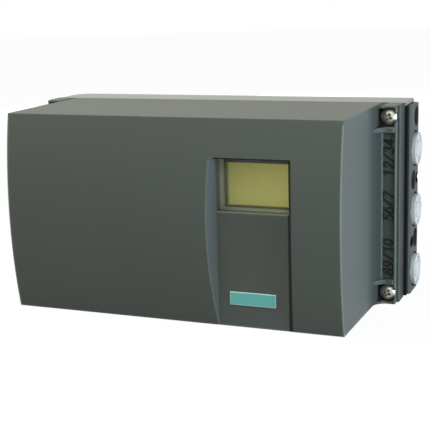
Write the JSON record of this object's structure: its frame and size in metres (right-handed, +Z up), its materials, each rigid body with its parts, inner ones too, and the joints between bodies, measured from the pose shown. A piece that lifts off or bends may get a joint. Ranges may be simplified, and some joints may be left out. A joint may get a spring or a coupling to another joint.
{
  "type": "valve positioner",
  "caption": "Valve positioner: deep curved hood with a display window over a shallow base, air ports on the right side and a feedback shaft at the back.",
  "frame": {"origin": "on the feedback shaft's axis, in the plane of the rear mounting face, which is the centre of the rear thread pattern", "axes": "+X to the right seen from the front, +Y out of the rear face along the feedback shaft, +Z up"},
  "size_m": [0.2075, 0.1129, 0.095],
  "materials": {
    "hood_plastic": "fine textured grey-green moulding",
    "base_paint": "pale grey moulding",
    "manifold_paint": "satin grey die casting",
    "rubber": "matt",
    "nickel": "nickel plated",
    "steel": "bright",
    "black_steel": "black oxide",
    "brass": "satin",
    "clear_pane": "clear polycarbonate",
    "frame_grey": "satin",
    "display_glass": "yellow-green reflective display",
    "cap_white": "soft translucent plastic",
    "board_green": "solder mask",
    "black_plastic": "satin",
    "key_grey": "satin",
    "terminal_green": "satin",
    "gear_plastic": "natural acetal",
    "cable_grey": "soft",
    "plate_lacquer": "bare lacquered plate with a pale rim",
    "valve_metal": "satin"
  },
  "bodies": {
    "housing": {"base_housing": "base_paint", "cover_gasket": "rubber", "display_frame": "black_plastic", "lcd_glass": "display_glass", "main_board": "board_green", "board_spacers": "brass", "board_screws": "steel", "board_chips": "black_plastic", "switch_bodies": "black_plastic", "module_cover": "black_plastic", "module_cover_screws": "steel", "terminal_block_upper": "terminal_green", "terminal_block_lower": "terminal_green", "ribbon_cable": "cable_grey", "shaft_bush": "brass", "shaft_seal": "rubber", "potentiometer": "black_plastic", "manifold_block": "manifold_paint", "manifold_gasket": "rubber", "manifold_screws": "black_steel", "port_seals": "rubber", "valve_block": "valve_metal", "valve_block_screws": "steel", "pilot_valve_upper": "black_plastic", "pilot_valve_lower": "black_plastic", "exhaust_silencer": "brass", "cable_gland_body": "black_plastic", "cable_gland_seal": "rubber", "cable_gland_nut": "black_plastic", "entry_plug": "black_plastic", "entry_seals": "rubber", "ground_screw": "nickel"},
    "cover": {"front_cover": "hood_plastic", "cover_screws": "nickel", "window_pane": "clear_pane", "window_seal": "frame_grey"},
    "shaft": {"feedback_shaft": "steel", "retaining_rings": "black_steel", "drive_sector": "gear_plastic", "clutch_spring": "steel"},
    "clutch": {"clutch_wheel": "black_plastic"},
    "pot_rotor": {"potentiometer_spindle": "steel", "potentiometer_gear": "gear_plastic"},
    "key_left": {"button_left": "key_grey"},
    "key_middle": {"button_middle": "key_grey"},
    "key_right": {"button_right": "key_grey"},
    "throttle_upper": {"throttle_screw_upper": "brass"},
    "throttle_lower": {"throttle_screw_lower": "brass"},
    "cap_upper": {"port_cap_upper": "cap_white"},
    "cap_middle": {"port_cap_middle": "cap_white"},
    "cap_lower": {"port_cap_lower": "cap_white"}
  },
  "joints": [
    {"name": "cover_pull", "type": "slide", "parent": "housing", "child": "cover", "axis": [0, -1, 0], "range_m": [0, 0.1]},
    {"name": "shaft_turn", "type": "hinge", "parent": "housing", "child": "shaft", "pos_m": [0, 0, 0], "axis": [0, 1, 0], "range_deg": [-50, 50]},
    {"name": "clutch_turn", "type": "hinge", "parent": "shaft", "child": "clutch", "pos_m": [0, -0.03, 0], "axis": [0, 1, 0], "continuous": true},
    {"name": "pot_turn", "type": "hinge", "parent": "housing", "child": "pot_rotor", "pos_m": [-0.0396, 0, 0], "axis": [0, 1, 0], "range_deg": [-200, 200]},
    {"name": "key_left_press", "type": "slide", "parent": "housing", "child": "key_left", "axis": [0, 1, 0], "range_m": [0, 0.001], "stiffness_N_per_m": 500, "springref_m": -0.001},
    {"name": "key_middle_press", "type": "slide", "parent": "housing", "child": "key_middle", "axis": [0, 1, 0], "range_m": [0, 0.001], "stiffness_N_per_m": 500, "springref_m": -0.001},
    {"name": "key_right_press", "type": "slide", "parent": "housing", "child": "key_right", "axis": [0, 1, 0], "range_m": [0, 0.001], "stiffness_N_per_m": 500, "springref_m": -0.001},
    {"name": "throttle_upper_turn", "type": "hinge", "parent": "housing", "child": "throttle_upper", "pos_m": [0.09, -0.0042, 0.009], "axis": [1, 0, 0], "range_deg": [0, 720]},
    {"name": "throttle_lower_turn", "type": "hinge", "parent": "housing", "child": "throttle_lower", "pos_m": [0.09, -0.0144, -0.0212], "axis": [1, 0, 0], "range_deg": [0, 720]},
    {"name": "cap_upper_pull", "type": "slide", "parent": "housing", "child": "cap_upper", "axis": [1, 0, 0], "range_m": [0, 0.02]},
    {"name": "cap_middle_pull", "type": "slide", "parent": "housing", "child": "cap_middle", "axis": [1, 0, 0], "range_m": [0, 0.02]},
    {"name": "cap_lower_pull", "type": "slide", "parent": "housing", "child": "cap_lower", "axis": [1, 0, 0], "range_m": [0, 0.02]}
  ],
  "couplings": [
    {"joint": "pot_turn", "follows": "shaft_turn", "ratio": -3}
  ]
}
